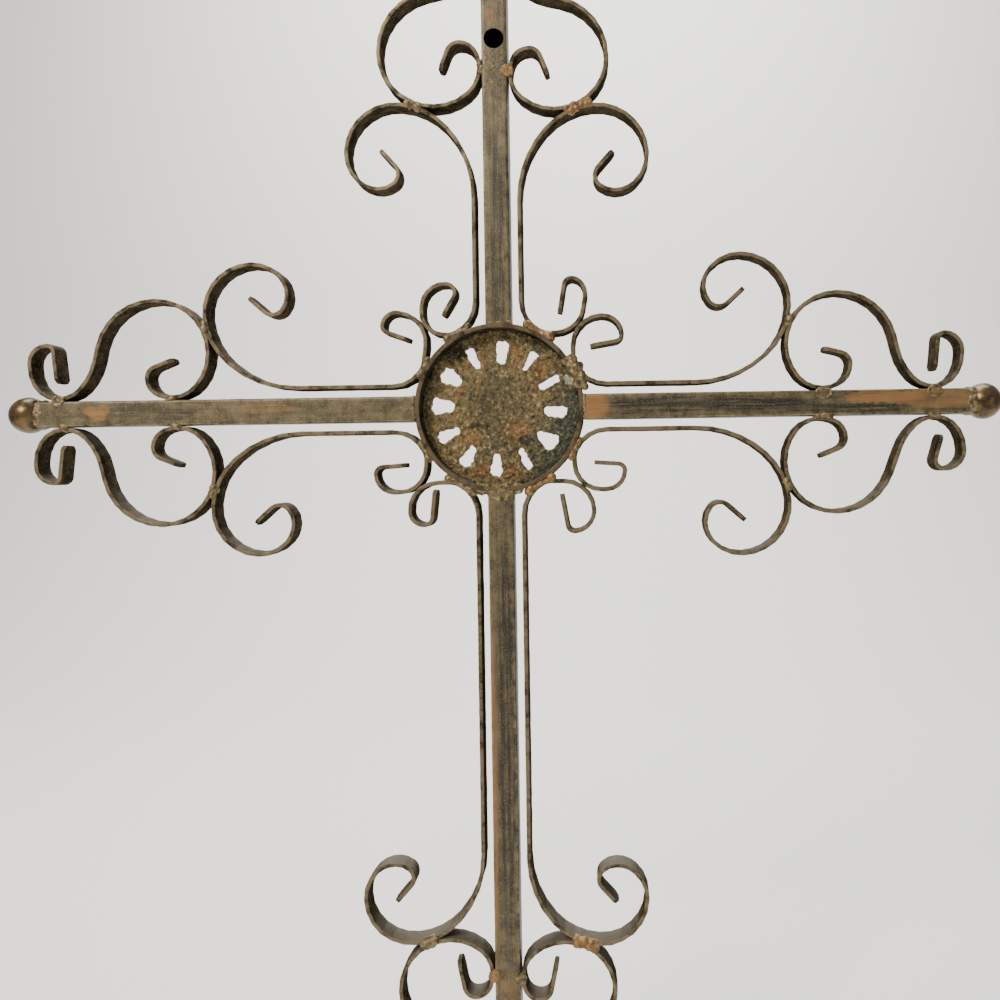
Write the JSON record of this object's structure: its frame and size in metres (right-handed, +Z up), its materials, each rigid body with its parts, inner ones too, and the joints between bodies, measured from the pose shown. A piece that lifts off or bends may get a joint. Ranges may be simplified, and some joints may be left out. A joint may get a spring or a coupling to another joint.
{
  "type": "wrought iron cross",
  "caption": "Hanging cross of square tube arms around a ring with a slotted cast disc, with C and S scrolls of flat bar beside each arm and ball ends.",
  "frame": {"origin": "centre of the hanging hole, on the outer face of the tube wall that it is cut in", "axes": "+Z up along the upright, +X to the right as pictured, -Y out of the pictured face, which is the side with the hanging hole"},
  "size_m": [0.7478, 0.0272, 0.9322],
  "materials": {
    "square_tube": "antiqued bronze paint, rubbed, satin",
    "flat_bar": "antiqued bronze paint, rubbed, satin",
    "cast_disc": "rough sand casting, bronze wash",
    "ball_finial": "darker bronze paint, glossier"
  },
  "bodies": {
    "root": {"ring": "flat_bar", "slotted_disc": "cast_disc", "arm_top": "square_tube", "ball_top": "ball_finial", "c_scroll_top_left": "flat_bar", "s_scroll_top_left": "flat_bar", "c_scroll_top_right": "flat_bar", "s_scroll_top_right": "flat_bar", "arm_right": "square_tube", "ball_right": "ball_finial", "c_scroll_right_upper": "flat_bar", "s_scroll_right_upper": "flat_bar", "c_scroll_right_lower": "flat_bar", "s_scroll_right_lower": "flat_bar", "arm_bottom": "square_tube", "ball_bottom": "ball_finial", "c_scroll_bottom_left": "flat_bar", "s_scroll_bottom_left": "flat_bar", "c_scroll_bottom_right": "flat_bar", "s_scroll_bottom_right": "flat_bar", "arm_left": "square_tube", "ball_left": "ball_finial", "c_scroll_left_upper": "flat_bar", "s_scroll_left_upper": "flat_bar", "c_scroll_left_lower": "flat_bar", "s_scroll_left_lower": "flat_bar"}
  },
  "joints": []
}
